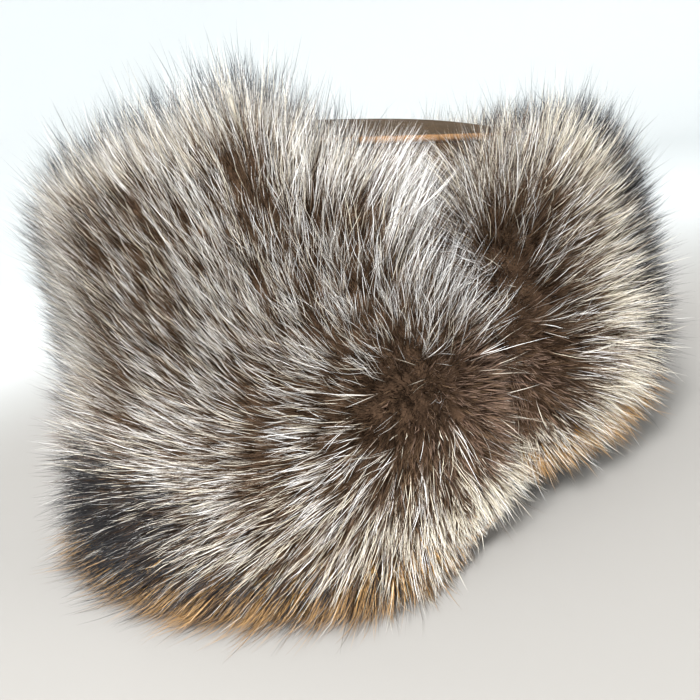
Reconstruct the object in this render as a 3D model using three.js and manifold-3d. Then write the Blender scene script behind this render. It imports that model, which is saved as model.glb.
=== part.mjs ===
// A trapper cap of raccoon fur over a leather crown, with its ear-and-neck flap and its visor turned up.
// Millimetres, +Z up, the visor faces -Y, and the cap rests on the flattened fur of its rim at z = 0.
import * as THREE from 'three';
import { mergeVertices } from 'three/addons/utils/BufferGeometryUtils.js';
import Module from 'manifold-3d';

const wasm = await Module();
wasm.setup();

// The head opening and the leather crown
const headLength = 198; // inside the headband, front to back
const headWidth = 164; // inside the headband, side to side
const headbandWall = 2;
const headbandHeight = 30;
const crownWall = 2.4;
const crownHeight = 140; // from its lower edge to the top seam, at the middle of the sides
const crownSlope = 10.5; // degrees that the top seam falls towards the visor
const crownRise = 10; // of the domed top panel above its seam
const domePower = 2.4; // how flat the dome stays in its middle
const pipingRadius = 1.6; // in the top seam
const rimHeight = 35; // the crown's lower edge above the surface, on the fur below it
const rimRise = 18; // how much higher that edge is at the forehead
const seamGap = 0.3; // between pieces that are sewn together

// The turned-up flap and visor: a leather wall each, with the fur outside it
const flapWall = 1.8;
const flapBulge = 8; // how far the leather stands off the crown
const bulgeTurn = 112; // degrees of a sine that the leather's section follows from the rim up
const flapHeight = 147; // beside the ears
const flapAngle = 108; // degrees from the middle of the back to the flap's front edge, at the rim
const flapTopAngle = 89; // the same at the top, where the ear flaps taper
const foldDrop = 31; // how far the flap's leather hangs below the rim before it folds up
const visorHeight = 96; // near its ends
const visorBulge = 6;
const visorAngle = 68; // degrees from the middle of the front to the visor's end, at the rim
const visorTopAngle = 77; // the same at the top, where it reaches further back

// The fur: a dense mass of underfur, with locks of guard hair on it
const furDepth = 31; // of the dense mass, square to the leather
const furTop = 16; // of the dense mass, above the leather's top edge
const hemRise = 9; // how much higher the fur's lower edge is towards the front than at the back
const hemTurnAngles = [78, 114]; // degrees from the middle of the back between which it rises and turns in
const furGap = 0.5; // between the leather and the fur's dense mass
const lockLength = 24;
const lockSpacing = 10.5;
const lockFloor = 1.5; // a tip that would reach the surface below spreads out above it
const partingGap = 1.2; // between the flap's fur and the visor's
const partingLean = 9; // degrees that this gap leans back, going up

const leatherBrown = 0x6b4a2c;
const leatherTan = 0xa5692f;
const furGrey = 0x85786a;

const rad = THREE.MathUtils.degToRad;
const smooth = THREE.MathUtils.smoothstep;
const crownOuter = headbandWall + seamGap + crownWall; // offset of the crown's outside from the head
const seamZ = rimHeight + crownHeight;

// The angle is 0 at the back, and its side angle the same on both sides, up to 180 at the front. The
// leather's lower edge rises from the ears to the forehead, and the fur's hem turns in before the ears.
const sideOf = (angle) => 180 - Math.abs(180 - Math.abs(angle));
const rimAt = (angle) => rimHeight + rimRise * smooth(sideOf(angle), 90, 150);
const hemTurn = (angle) => smooth(sideOf(angle), ...hemTurnAngles);
const hangAt = (angle) => rimHeight - hemRise * hemTurn(angle); // of the fur, below the rim

// A point of the head oval, moved out by offset, with the angle 90 on the wearer's left
function ovalPoint(angle, offset, z) {
  const [a, b] = [headWidth / 2, headLength / 2];
  const [s, c] = [Math.sin(rad(angle)), Math.cos(rad(angle))];
  const out = new THREE.Vector2(s / a, c / b).normalize();
  return new THREE.Vector3(a * s + offset * out.x, b * c + offset * out.y, z);
}

// A closed body between an outer and an inner grid of points, grid[along][up]. A ring closes on itself.
function wall(outer, inner, ring = false) {
  const n = outer.length;
  const grids = [outer, inner];
  const positions = grids.flatMap((grid) => grid.flat().flatMap((p) => [p.x, p.y, p.z]));
  const at = (side, i, j) => side * n * outer[0].length + (i % n) * grids[side][0].length + j;
  const [outerTop, innerTop] = [outer[0].length - 1, inner[0].length - 1];
  const index = [];
  const quad = (a, b, c, d) => index.push(a, b, c, a, c, d);
  for (let i = 0; i < (ring ? n : n - 1); i++) {
    for (let j = 0; j < outerTop; j++) {
      const corners = [at(0, i, j), at(0, i, j + 1), at(0, i + 1, j + 1), at(0, i + 1, j)];
      if ((i + j) % 2 === 0) corners.push(corners.shift());
      quad(...corners);
    }
    for (let j = 0; j < innerTop; j++) {
      quad(at(1, i, j), at(1, i + 1, j), at(1, i + 1, j + 1), at(1, i, j + 1));
    }
    quad(at(0, i, 0), at(0, i + 1, 0), at(1, i + 1, 0), at(1, i, 0));
    quad(at(0, i, outerTop), at(1, i, innerTop), at(1, i + 1, innerTop), at(0, i + 1, outerTop));
  }
  // The two ends of an open wall, where its faces can have different numbers of points
  for (const i of ring ? [] : [0, n - 1]) {
    let [j, k] = [0, 0];
    while (j < outerTop || k < innerTop) {
      const stepOuter = k === innerTop || (j < outerTop && (j + 1) / outerTop <= (k + 1) / innerTop);
      const third = stepOuter ? at(0, i, j + 1) : at(1, i, k + 1);
      index.push(...(i ? [at(0, i, j), third, at(1, i, k)] : [at(0, i, j), at(1, i, k), third]));
      if (stepOuter) j++;
      else k++;
    }
  }
  const geometry = new THREE.BufferGeometry();
  geometry.setAttribute('position', new THREE.Float32BufferAttribute(positions, 3));
  geometry.setIndex(index);
  return geometry;
}

function solidOf(geometry) {
  const bare = geometry.clone();
  bare.deleteAttribute('normal');
  bare.deleteAttribute('uv');
  const merged = mergeVertices(bare, 1e-4);
  return new wasm.Manifold(
    new wasm.Mesh({
      numProp: 3,
      vertProperties: merged.attributes.position.array,
      triVerts: new Uint32Array(merged.index.array),
    }),
  );
}

function geometryOf(solid) {
  const { vertProperties, triVerts } = solid.getMesh();
  const geometry = new THREE.BufferGeometry();
  geometry.setAttribute('position', new THREE.BufferAttribute(vertProperties, 3));
  geometry.setIndex(new THREE.BufferAttribute(triVerts, 1));
  return geometry;
}

const cap = new THREE.Group();

function addPiece(name, geometry, colour, roughness) {
  const material = new THREE.MeshStandardMaterial({ color: colour, roughness, metalness: 0 });
  const mesh = new THREE.Mesh(geometry, material);
  mesh.name = name;
  cap.add(mesh);
  return mesh;
}

// The crown's leather side wall, whose top follows the sloping seam, and the headband inside it
const ringSteps = 54;
const ringAngles = Array.from({ length: ringSteps }, (_, i) => (i * 360) / ringSteps);

// lift raises the lower edge above the rim line, and topAt gives the upper edge from y and the lower edge
function ringWall(innerOffset, thickness, lift, topAt) {
  const face = (offset) =>
    ringAngles.map((angle) => {
      const low = ovalPoint(angle, offset, rimAt(angle) + lift);
      return [low, low.clone().setZ(topAt(low.y, low.z))];
    });
  return wall(face(innerOffset + thickness), face(innerOffset), true);
}

const sideTop = (y) => seamZ + y * Math.tan(rad(crownSlope)) - pipingRadius - seamGap;
const bandTop = (y, low) => low + headbandHeight;
addPiece('crown_side', ringWall(headbandWall + seamGap, crownWall, 0, sideTop), leatherBrown, 0.75);
addPiece('headband', ringWall(0, headbandWall, seamGap, bandTop), leatherTan, 0.6);

// The domed top panel and its piping lie in the plane of the sloping seam
const crownTop = new THREE.Group();
crownTop.position.z = seamZ;
crownTop.rotation.x = rad(crownSlope);
cap.add(crownTop);
const seamOffset = crownOuter - crownWall / 2;
const stretch = 1 / Math.cos(rad(crownSlope)); // the seam's plane cuts the crown at a slant

function seamOval(offset) {
  return [headWidth / 2 + offset, (headLength / 2 + offset) * stretch];
}

function domedPanel() {
  const steps = 5;
  const dome = Array.from({ length: steps + 1 }, (_, i) => {
    const share = i / steps;
    return new THREE.Vector2(share, crownRise * (1 - share ** domePower));
  });
  const underside = dome.map((p) => new THREE.Vector2(p.x, p.y - crownWall));
  const panel = new THREE.LatheGeometry([...underside, ...dome.reverse()], ringSteps);
  return panel.rotateX(Math.PI / 2).scale(...seamOval(seamOffset - pipingRadius - seamGap), 1);
}

function piping() {
  const [a, b] = seamOval(seamOffset);
  const facets = 6;
  const rows = ringAngles.map((angle) => {
    const [s, c] = [Math.sin(rad(angle)), Math.cos(rad(angle))];
    const out = new THREE.Vector2(s / a, c / b).normalize();
    return Array.from({ length: facets }, (_, j) => {
      const turn = (j * 2 * Math.PI) / facets;
      const reach = pipingRadius * Math.cos(turn);
      return new THREE.Vector3(a * s + reach * out.x, b * c + reach * out.y, pipingRadius * Math.sin(turn));
    });
  });
  const index = [];
  const at = (i, j) => (i % ringSteps) * facets + (j % facets);
  for (let i = 0; i < ringSteps; i++) {
    for (let j = 0; j < facets; j++) {
      index.push(at(i, j), at(i, j + 1), at(i + 1, j + 1), at(i, j), at(i + 1, j + 1), at(i + 1, j));
    }
  }
  const geometry = new THREE.BufferGeometry();
  const positions = rows.flat().flatMap((p) => [p.x, p.y, p.z]);
  geometry.setAttribute('position', new THREE.Float32BufferAttribute(positions, 3));
  geometry.setIndex(index);
  return geometry;
}

crownTop.add(addPiece('crown_top', domedPanel(), leatherBrown, 0.75));
crownTop.add(addPiece('crown_piping', piping(), leatherTan, 0.6));

// The flap and the visor each stand round the crown between two ends. across runs from -1 to 1 between
// the ends, and up from 0 at the rim to 1 at the top edge. The drops are shares of the height, and fringe
// is how much further the fur spreads at the rim, as a share of its depth.
const flap = {
  middle: 0,
  steps: 32,
  angles: [flapAngle, flapTopAngle],
  height: flapHeight,
  bulge: flapBulge,
  middleDrop: 0.15,
  cornerDrop: 0.2,
  fringe: 0.85,
};
const visor = {
  middle: flap.middle + 180,
  steps: 20,
  angles: [visorAngle, visorTopAngle],
  height: visorHeight,
  bulge: visorBulge,
  middleDrop: 0.2,
  cornerDrop: 0.07,
  fringe: 0.3,
};

function angleAt(part, across, up) {
  const [low, high] = part.angles;
  return part.middle + across * (low - (low - high) * THREE.MathUtils.clamp(up, 0, 1) ** 2);
}

function heightAt(part, across) {
  const share = Math.min(Math.abs(across), 1);
  return part.height * (1 - part.middleDrop * (1 - share) - part.cornerDrop * smooth(share, 0.8, 1));
}

// A point of a turned-up part, out from the inside of its leather and lift above its own height
function partPoint(part, across, up, out, lift = 0) {
  const angle = angleAt(part, across, up);
  const standOff = crownOuter + seamGap + part.bulge * Math.sin(rad(bulgeTurn * up));
  return ovalPoint(angle, standOff + out, rimAt(angle) + seamGap + heightAt(part, across) * up + lift);
}

const leatherLevels = [0, 0.15, 0.35, 0.55, 0.78, 1];
const evenly = (count) => Array.from({ length: count + 1 }, (_, i) => (2 * i) / count - 1);

// drop is how far the leather hangs below the rim
function leatherWall(part, drop) {
  const fold = (s, out) => (drop ? [partPoint(part, s, 0, out, -drop)] : []);
  const rise = (s, out) => leatherLevels.map((up) => partPoint(part, s, up, out));
  const face = (out) => evenly(part.steps).map((s) => [...fold(s, out), ...rise(s, out)]);
  return wall(face(flapWall), face(0));
}

addPiece('ear_flap_leather', leatherWall(flap, foldDrop), leatherBrown, 0.75);
addPiece('visor_leather', leatherWall(visor, 0), leatherBrown, 0.75);

// The dense mass in section, from the surface below up over the leather's top edge: up is a share of the
// leather's height, low of the rim's height below it, thick of the fur's depth, spread of the fringe, and
// over of the fur's height above the leather
const furSections = [
  { up: 0, low: 1, thick: 0.75, spread: 0.8, over: 0 },
  { up: 0, low: 0.78, thick: 1, spread: 1, over: 0 },
  { up: 0.02, low: 0, thick: 1, spread: 0.7, over: 0 },
  { up: 0.3, low: 0, thick: 0.96, spread: 0.25, over: 0 },
  { up: 0.6, low: 0, thick: 0.88, spread: 0.05, over: 0 },
  { up: 0.84, low: 0, thick: 0.84, spread: 0, over: 0 },
  { up: 1, low: 0, thick: 0.74, spread: 0, over: 0.05 },
  { up: 1, low: 0, thick: 0.44, spread: 0, over: 0.72 },
  { up: 1, low: 0, thick: 0.16, spread: 0, over: 1 },
];
const furBase = flapWall + furGap;
const furEnd = 1.035; // across, where the fur goes round the ends of the leather
const endRound = 0.21; // of the fur's depth, as a share of across times the radians it spans
const endEdge = 0.14; // share of its depth that the fur keeps at its very end
const hemTuck = 0.35; // share of its depth that the hem loses where it turns in
const hemNarrow = 0.7; // share of its spread that the fringe loses there
const innerLip = 0.6; // of the fur's inner face over the leather, as a share of the outer face's

// 1 along the part, and falling to a rounded edge at its ends
function endShape(part, across) {
  const round = endRound / rad(part.angles[0]);
  const into = Math.max(0, (Math.abs(across) - furEnd + round) / round);
  return endEdge + (1 - endEdge) * Math.sqrt(Math.max(0, 1 - into ** 2));
}

function furOuter(part, across, section) {
  const shape = endShape(part, across);
  const angle = angleAt(part, across, section.up);
  const thick = section.thick * (1 - hemTuck * hemTurn(angle) * section.low);
  const spread = part.fringe * section.spread * (1 - hemNarrow * hemTurn(angle));
  const out = furBase + furDepth * (thick + spread) * shape;
  const lift = section.over * furTop * shape - section.low * (hangAt(angle) + seamGap);
  return partPoint(part, across, section.up, out, lift);
}

function furInner(part, across) {
  const hang = hangAt(angleAt(part, across, 0)) + seamGap;
  return [
    partPoint(part, across, 0, furBase, -hang),
    ...leatherLevels.map((up) => partPoint(part, across, up, furBase)),
    partPoint(part, across, 1, innerLip * furBase, innerLip * furTop * endShape(part, across)),
  ];
}

// How the hair is combed, as shares of a lock's length along the part and up it. It parts low on the
// side, and lies away from there.
const partingAngle = 98; // degrees from the middle of the back
const partingUp = 0.28;
const combOut = 0.8;
const combRise = 0.8;
const combTurn = 2.6; // how quickly it turns from hanging below the parting to rising above it
const combBack = 0.7; // towards the back, between the parting and the middle of the back
const combFront = 2; // towards the front, for each share of the way past the parting
const combSpread = 0.4; // towards the visor's ends

function combOf(part, across, up) {
  const rise = combRise * Math.tanh((up - partingUp) * combTurn);
  if (part === visor) return [combSpread * across ** 3, rise];
  const share = Math.abs(angleAt(part, across, up)) / partingAngle;
  const along = share < 1 ? -combBack * Math.sin(Math.PI * share) : combFront * (share - 1);
  return [Math.sign(across) * along, rise];
}

// Numbers between 0 and 1 that look random and are the same each time
function chance(i, j) {
  const v = Math.sin(i * 127.1 + j * 311.7) * 43758.5453;
  return v - Math.floor(v);
}

// The tip of the lock that is drawn out from the net at [i][j]
function lockTip(part, across, net, i, j) {
  const root = net[i][j];
  const alongWay = net[i + 1][j].clone().sub(net[i - 1][j]).normalize();
  const upWay = net[i][j + 1].clone().sub(net[i][j - 1]).normalize();
  const out = new THREE.Vector3().crossVectors(upWay, alongWay).normalize();
  const up = (root.z - rimAt(angleAt(part, across, 0))) / heightAt(part, across);
  const [level, rise] = combOf(part, across, up);
  const length = lockLength * (0.65 + 0.5 * chance(i, j));
  const tip = root.clone().addScaledVector(out, combOut * length);
  tip.addScaledVector(alongWay, level * length).addScaledVector(upWay, rise * length);
  return tip.setZ(Math.max(tip.z, lockFloor));
}

// The fur's outer face is a net of points on the dense mass, and every second one is the tip of a lock
function lockedFace(part, stations) {
  const lines = stations.map((across) => {
    return new THREE.CatmullRomCurve3(furSections.map((section) => furOuter(part, across, section)));
  });
  const rows = Math.round(lines[Math.floor(lines.length / 2)].getLength() / lockSpacing);
  const net = lines.map((line) => line.getSpacedPoints(rows));
  const inside = (i, last) => i > 0 && i < last;
  const isLock = (i, j) => (i + j) % 2 === 0 && inside(i, net.length - 1) && inside(j, rows);
  return net.map((column, i) =>
    column.map((root, j) => (isLock(i, j) ? lockTip(part, stations[i], net, i, j) : root)),
  );
}

function furBody(part) {
  const girth = 2 * rad(part.angles[0]) * (headLength / 2 + furDepth);
  const ends = [(1 + furEnd) / 2, furEnd];
  const stations = [...evenly(2 * Math.round(girth / lockSpacing / 2)), ...ends, ...ends.map((end) => -end)];
  stations.sort((a, b) => a - b);
  return solidOf(wall(lockedFace(part, stations), stations.map((across) => furInner(part, across))));
}

// The space in front of the two planes where the flap's fur meets the visor's, which lean back going up
function visorSpace(halfGap) {
  const angle = (flapAngle + 180 - visorAngle) / 2 + THREE.MathUtils.radToDeg(halfGap / (headLength / 2));
  const far = 2 * headLength;
  const edge = [ovalPoint(angle, -headWidth / 3, 0), ovalPoint(angle, far, 0), { x: far, y: -far }];
  const corners = [-1, far].flatMap((z) => {
    const back = (z - rimHeight) * Math.tan(rad(partingLean));
    return edge.flatMap(({ x, y }) => [[x, y + back, z], [-x, y + back, z]]);
  });
  return wasm.Manifold.hull(corners);
}

// The one main shell, without cut-off tips of locks or the small voids closed in between locks
function mainShell(solid) {
  const shells = solidOf(geometryOf(solid)).decompose();
  return shells.reduce((a, b) => (a.volume() > b.volume() ? a : b));
}

const flapFur = mainShell(furBody(flap).subtract(visorSpace(-partingGap / 2)));
const visorFur = mainShell(furBody(visor).intersect(visorSpace(partingGap / 2)));
addPiece('ear_flap_fur', geometryOf(flapFur), furGrey, 0.95);
addPiece('visor_fur', geometryOf(visorFur), furGrey, 0.95);

// The origin lies on the surface, under the middle of the cap
const middle = new THREE.Box3().setFromObject(cap).getCenter(new THREE.Vector3());
cap.position.set(-middle.x, -middle.y, 0);

export default cap;
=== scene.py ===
import math

import bpy
import numpy as np
from mathutils import Matrix, Vector


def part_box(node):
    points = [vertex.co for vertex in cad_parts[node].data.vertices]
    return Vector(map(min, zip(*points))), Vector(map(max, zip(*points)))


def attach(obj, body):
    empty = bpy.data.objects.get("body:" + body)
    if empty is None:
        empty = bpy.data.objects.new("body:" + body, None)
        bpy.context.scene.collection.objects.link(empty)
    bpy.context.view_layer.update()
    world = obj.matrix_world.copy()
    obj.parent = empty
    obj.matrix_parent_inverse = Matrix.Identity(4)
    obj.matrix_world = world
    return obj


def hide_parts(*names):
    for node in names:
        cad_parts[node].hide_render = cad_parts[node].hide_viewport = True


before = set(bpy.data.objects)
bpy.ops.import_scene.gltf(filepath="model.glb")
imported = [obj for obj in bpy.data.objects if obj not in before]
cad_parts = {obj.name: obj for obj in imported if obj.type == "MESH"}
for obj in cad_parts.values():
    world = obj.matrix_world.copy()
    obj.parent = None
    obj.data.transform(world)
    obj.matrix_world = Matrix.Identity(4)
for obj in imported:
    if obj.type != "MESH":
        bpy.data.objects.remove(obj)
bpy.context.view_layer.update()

# The crown's side wall: the deep upright ring that takes the head, cut from soft brown leather about
# 2.4 mm thick. Its lower edge is the cap's rim, and its upper edge follows the sloping top seam.
band_low, band_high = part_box("headband")
side_low, side_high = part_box("crown_side")
head_middle = (band_low + band_high) / 2
half_width = (band_high.x - band_low.x) / 2
half_length = (band_high.y - band_low.y) / 2
seam_gap = 0.0003
crown_wall = 0.0024
rim_height = side_low.z
rim_rise = 0.018
crown_slope = math.radians(10.5)
seam_height = rim_height + 0.140
piping_radius = 0.0016


def smooth(value, low, high):
    """0 below low, 1 above high, with a soft turn at both."""
    share = np.clip((value - low) / (high - low), 0, 1)
    return share * share * (3 - 2 * share)


def side_angle(angle):
    """Degrees round from the middle of the back, 0 to 180, the same on both sides."""
    return 180 - np.abs(180 - np.abs(angle))


def rim_at(angle):
    """Height of the rim, which rises from the ears to the forehead."""
    return rim_height + rim_rise * smooth(side_angle(angle), 90, 150)


def unit(vectors):
    """The same directions, with a length of 1."""
    return vectors / (np.linalg.norm(vectors, axis=-1, keepdims=True) + 1e-12)


def oval_out(angle):
    """The level direction square to the head oval. The angle is 0 at the back, 90 on the wearer's left."""
    turn = np.radians(angle)
    out = unit(np.stack([np.sin(turn) / half_width, np.cos(turn) / half_length], -1))
    return np.concatenate([out, np.zeros_like(out[..., :1])], -1)


def oval_point(angle, offset, height):
    """A point offset outwards from the outside of the headband."""
    turn = np.radians(angle)
    x = head_middle.x + half_width * np.sin(turn)
    y = head_middle.y + half_length * np.cos(turn)
    base = np.stack(np.broadcast_arrays(x, y, height), -1)
    return base + oval_out(np.broadcast_to(angle, base.shape[:-1])) * np.asarray(offset)[..., None]


def add_mesh(name, points, faces, finish, replaced=None):
    """A smooth-shaded piece from arrays of points and faces, riding on the cap."""
    mesh = bpy.data.meshes.new(name)
    mesh.from_pydata(points.reshape(-1, 3).tolist(), [], faces)
    mesh.polygons.foreach_set("use_smooth", np.ones(len(mesh.polygons), bool))
    mesh.materials.append(finish)
    piece = bpy.data.objects.new(name, mesh)
    bpy.context.scene.collection.objects.link(piece)
    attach(piece, "root")
    if replaced:
        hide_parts(replaced)


def grid_faces(columns, rows, ring=False, tube=False):
    """Quads over a grid of points. A ring closes along its columns, a tube along its rows."""
    faces = []
    for i in range(columns if ring else columns - 1):
        for j in range(rows if tube else rows - 1):
            a, b = i * rows + j, i * rows + (j + 1) % rows
            c, d = (i + 1) % columns * rows + (j + 1) % rows, (i + 1) % columns * rows + j
            faces.append((a, b, c, d))
    return faces


def sheet_profile(rows, edge_rows=4):
    """Round a leather wall in section: shares of its height, and of its half thickness, from -1 to 1."""
    up = np.linspace(0, 1, rows)
    cap = np.linspace(0, math.pi, edge_rows + 2)[1:-1]
    shares = np.concatenate([up, np.ones(edge_rows), up[::-1], np.zeros(edge_rows)])
    sides = np.concatenate([np.ones(rows), np.cos(cap), -np.ones(rows), -np.cos(cap)])
    lift = np.concatenate([np.zeros(rows), np.sin(cap), np.zeros(rows), -np.sin(cap)])
    return shares, sides, lift


def soft_creases(angle, height, seed):
    """Low uneven waves of soft leather, from -1 to 1, drawn out upwards."""
    draw = np.random.default_rng(seed)
    total = 0
    for _ in range(7):
        around, rise = draw.integers(2, 17), draw.uniform(-70, 70)
        total = total + np.sin(np.radians(angle) * around + height * rise + draw.uniform(0, 6.3))
    return total / 4


def new_node(nodes, kind, values=None, **settings):
    """A shader node with its settings, and with values on its named or numbered inputs."""
    node = nodes.new("ShaderNode" + kind)
    for setting, value in settings.items():
        setattr(node, setting, value)
    for socket, value in (values or {}).items():
        node.inputs[socket].default_value = value
    return node


def leather_group():
    """Leather grain: fine cells, a cloudy tone and scuffs, as colour, roughness and height."""
    group = bpy.data.node_groups.new("leather_grain", "ShaderNodeTree")
    sockets = group.interface
    for name, kind, value in (
        ("Hide", "NodeSocketColor", (0.2, 0.1, 0.04, 1)),
        ("Worn", "NodeSocketColor", (0.4, 0.2, 0.1, 1)),
        ("Grain Size", "NodeSocketFloat", 0.0012),
        ("Wear", "NodeSocketFloat", 0.3),
    ):
        sockets.new_socket(name, in_out="INPUT", socket_type=kind).default_value = value
    for name, kind in (("Color", "Color"), ("Roughness", "Float"), ("Height", "Float")):
        sockets.new_socket(name, in_out="OUTPUT", socket_type="NodeSocket" + kind)
    nodes, links = group.nodes, group.links
    given, result = nodes.new("NodeGroupInput"), nodes.new("NodeGroupOutput")
    place = new_node(nodes, "TexCoord").outputs["Object"]

    # Cells of grain, darker and sunk along the lines between them
    fineness = new_node(nodes, "Math", {0: 1}, operation="DIVIDE")
    links.new(given.outputs["Grain Size"], fineness.inputs[1])
    cells = new_node(nodes, "TexVoronoi", feature="DISTANCE_TO_EDGE")
    links.new(place, cells.inputs["Vector"])
    links.new(fineness.outputs[0], cells.inputs["Scale"])
    crack = new_node(nodes, "MapRange", {"From Max": 0.22})
    links.new(cells.outputs["Distance"], crack.inputs["Value"])
    shade = new_node(nodes, "MapRange", {"To Min": 0.62})
    links.new(crack.outputs["Result"], shade.inputs["Value"])

    # The worn tone shows where the clouds and the scuffs are both strong
    cloud = new_node(nodes, "TexNoise", {"Scale": 38, "Detail": 6})
    links.new(place, cloud.inputs["Vector"])
    scuff = new_node(nodes, "TexNoise", {"Scale": 260, "Detail": 3})
    links.new(place, scuff.inputs["Vector"])
    worn = new_node(nodes, "Math", operation="MULTIPLY")
    links.new(cloud.outputs["Fac"], worn.inputs[0])
    links.new(given.outputs["Wear"], worn.inputs[1])
    rubbed = new_node(nodes, "Math", operation="MULTIPLY")
    links.new(worn.outputs[0], rubbed.inputs[0])
    links.new(scuff.outputs["Fac"], rubbed.inputs[1])
    strong = new_node(nodes, "Math", {1: 4}, operation="MULTIPLY", use_clamp=True)
    links.new(rubbed.outputs[0], strong.inputs[0])
    tone = new_node(nodes, "Mix", data_type="RGBA")
    links.new(strong.outputs[0], tone.inputs["Factor"])
    links.new(given.outputs["Hide"], tone.inputs["A"])
    links.new(given.outputs["Worn"], tone.inputs["B"])
    shaded = new_node(nodes, "VectorMath", operation="SCALE")
    links.new(tone.outputs["Result"], shaded.inputs[0])
    links.new(shade.outputs["Result"], shaded.inputs["Scale"])
    links.new(shaded.outputs["Vector"], result.inputs["Color"])

    # Cloudy gloss, and a height from the cells and the scuffs
    dullness = new_node(nodes, "MapRange", {"To Min": 0.85, "To Max": 0.62})
    links.new(cloud.outputs["Fac"], dullness.inputs["Value"])
    links.new(dullness.outputs["Result"], result.inputs["Roughness"])
    relief = new_node(nodes, "Math", {1: 0.5}, operation="MULTIPLY_ADD")
    links.new(scuff.outputs["Fac"], relief.inputs[0])
    links.new(crack.outputs["Result"], relief.inputs[2])
    links.new(relief.outputs[0], result.inputs["Height"])
    return group


leather_grain = leather_group()
leather_gloss = 0.16


def new_finish(name, gloss, roughness=0.5):
    """A material with its shader's gloss and roughness, and the nodes and links to build on."""
    finish = bpy.data.materials.new(name)
    finish.use_nodes = True
    nodes, links = finish.node_tree.nodes, finish.node_tree.links
    shader = nodes["Principled BSDF"]
    shader.inputs["Specular IOR Level"].default_value = gloss
    shader.inputs["Roughness"].default_value = roughness
    return finish, nodes, links, shader


def leather(name, hide, worn, grain_size, wear, relief=0.0002):
    """A leather finish, from its colours fresh and worn, and its grain's size, wear and relief."""
    finish, nodes, links, shader = new_finish(name, leather_gloss)
    values = {"Hide": (*hide, 1), "Worn": (*worn, 1), "Grain Size": grain_size, "Wear": wear}
    grain = new_node(nodes, "Group", values, node_tree=leather_grain)
    bump = new_node(nodes, "Bump", {"Distance": relief})
    links.new(grain.outputs["Color"], shader.inputs["Base Color"])
    links.new(grain.outputs["Roughness"], shader.inputs["Roughness"])
    links.new(grain.outputs["Height"], bump.inputs["Height"])
    links.new(bump.outputs["Normal"], shader.inputs["Normal"])
    return finish


crown_leather = leather("crown_leather", (0.034, 0.019, 0.007), (0.085, 0.05, 0.02), 0.0016, 0.45)
wall_columns = 144


def ring_wall(name, inner, thickness, lift, top_at, rows, crease, seed, finish, node):
    """A closed leather ring round the head oval, with rounded edges and soft creases. Its inside stands
    inner out from the headband's outside, its lower edge lift above the rim, its upper one at top_at."""
    shares, sides, edge = sheet_profile(rows)
    angle = np.linspace(0, 360, wall_columns, endpoint=False)[:, None]
    low = rim_at(angle) + lift + thickness / 2
    y = head_middle.y + half_length * np.cos(np.radians(angle))
    height = low + (top_at(y, low) - thickness / 2 - low) * shares + edge * thickness / 2
    swell = crease * soft_creases(angle, height, seed) * np.sin(math.pi * shares) ** 0.5
    points = oval_point(angle, inner + thickness / 2 * (1 + sides) + swell, height)
    faces = grid_faces(wall_columns, len(shares), True, True)
    add_mesh(name, points, faces, finish, node)


def seam_z(y):
    """Height of the sloping top seam, which falls towards the visor."""
    return seam_height + (y - head_middle.y) * math.tan(crown_slope)


ring_wall(
    "crown_side_leather", seam_gap, crown_wall, 0,
    lambda y, low: seam_z(y) - piping_radius - seam_gap, rows=20,
    crease=0.0007, seed=3, finish=crown_leather, node="crown_side",
)

# The crown's top: a domed oval panel of the same leather, stretched a little over the head, with its
# edge turned down into the seam all round.
top_rise = 0.010
top_crease = 0.0006
seam_offset = seam_gap + crown_wall / 2
seam_stretch = 1 / math.cos(crown_slope)


def seam_frame(x, y, z):
    """From the seam's own sloping plane to the cap's frame."""
    c, s = math.cos(crown_slope), math.sin(crown_slope)
    return np.stack(
        [head_middle.x + x, head_middle.y + y * c - z * s, seam_height + y * s + z * c], -1
    )


def crown_top_points(columns, rows):
    """The panel's underside from the middle out, and back over its upper side, for each direction."""
    angle = np.radians(np.linspace(0, 360, columns, endpoint=False))[:, None]
    share = np.linspace(0.004, 1, rows)
    wide = half_width + seam_offset - piping_radius - seam_gap
    long = (half_length + seam_offset - piping_radius - seam_gap) * seam_stretch
    # The creases are deepest three quarters of the way out, and fade to the middle and to the seam
    fade = 9.5 * share**3 * (1 - share)
    creases = top_crease * fade * soft_creases(np.degrees(angle), share * 0.05, 8)
    rise = top_rise * (1 - share**2.4) + creases
    x = wide * share * np.sin(angle)
    y = long * share * np.cos(angle)
    top = seam_frame(x, y, rise)
    under = seam_frame(x, y, rise - crown_wall)
    return np.concatenate([under, top[:, ::-1]], 1)


crown_columns, crown_rows = 120, 22
top_points = crown_top_points(crown_columns, crown_rows)
# The grid leaves a small round of each side open in the middle, which one face closes
top_faces = grid_faces(crown_columns, 2 * crown_rows, True)
middle_below = range(0, 2 * crown_rows * crown_columns, 2 * crown_rows)
top_faces.append(tuple(middle_below))
top_faces.append(tuple(i + 2 * crown_rows - 1 for i in middle_below[::-1]))
add_mesh("crown_top_leather", top_points, top_faces, crown_leather, "crown_top")

# The piping: a round cord wrapped in lighter tan leather and sewn into the top seam, so that it stands
# proud between the side wall and the top.
piping_leather = leather("piping_leather", (0.20, 0.095, 0.035), (0.38, 0.21, 0.09), 0.0009, 0.5, 0.00012)
stitches = 64
stitch_pinch = 0.05


def piping_points(columns, rows):
    """A round cord along the seam, pinched a little at each stitch."""
    angle = np.linspace(0, 360, columns, endpoint=False)
    out = oval_out(angle)[:, None, :]
    wide, long = half_width + seam_offset, (half_length + seam_offset) * seam_stretch
    turn = np.radians(angle)[:, None]
    round_turn = np.linspace(0, 2 * math.pi, rows, endpoint=False)[None, :]
    pinch = 1 + stitch_pinch * np.sin(turn * stitches)
    reach = piping_radius * np.cos(round_turn) * pinch
    x = wide * np.sin(turn) + reach * out[..., 0]
    y = long * np.cos(turn) + reach * out[..., 1]
    return seam_frame(x, y, piping_radius * np.sin(round_turn) * pinch)


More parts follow.
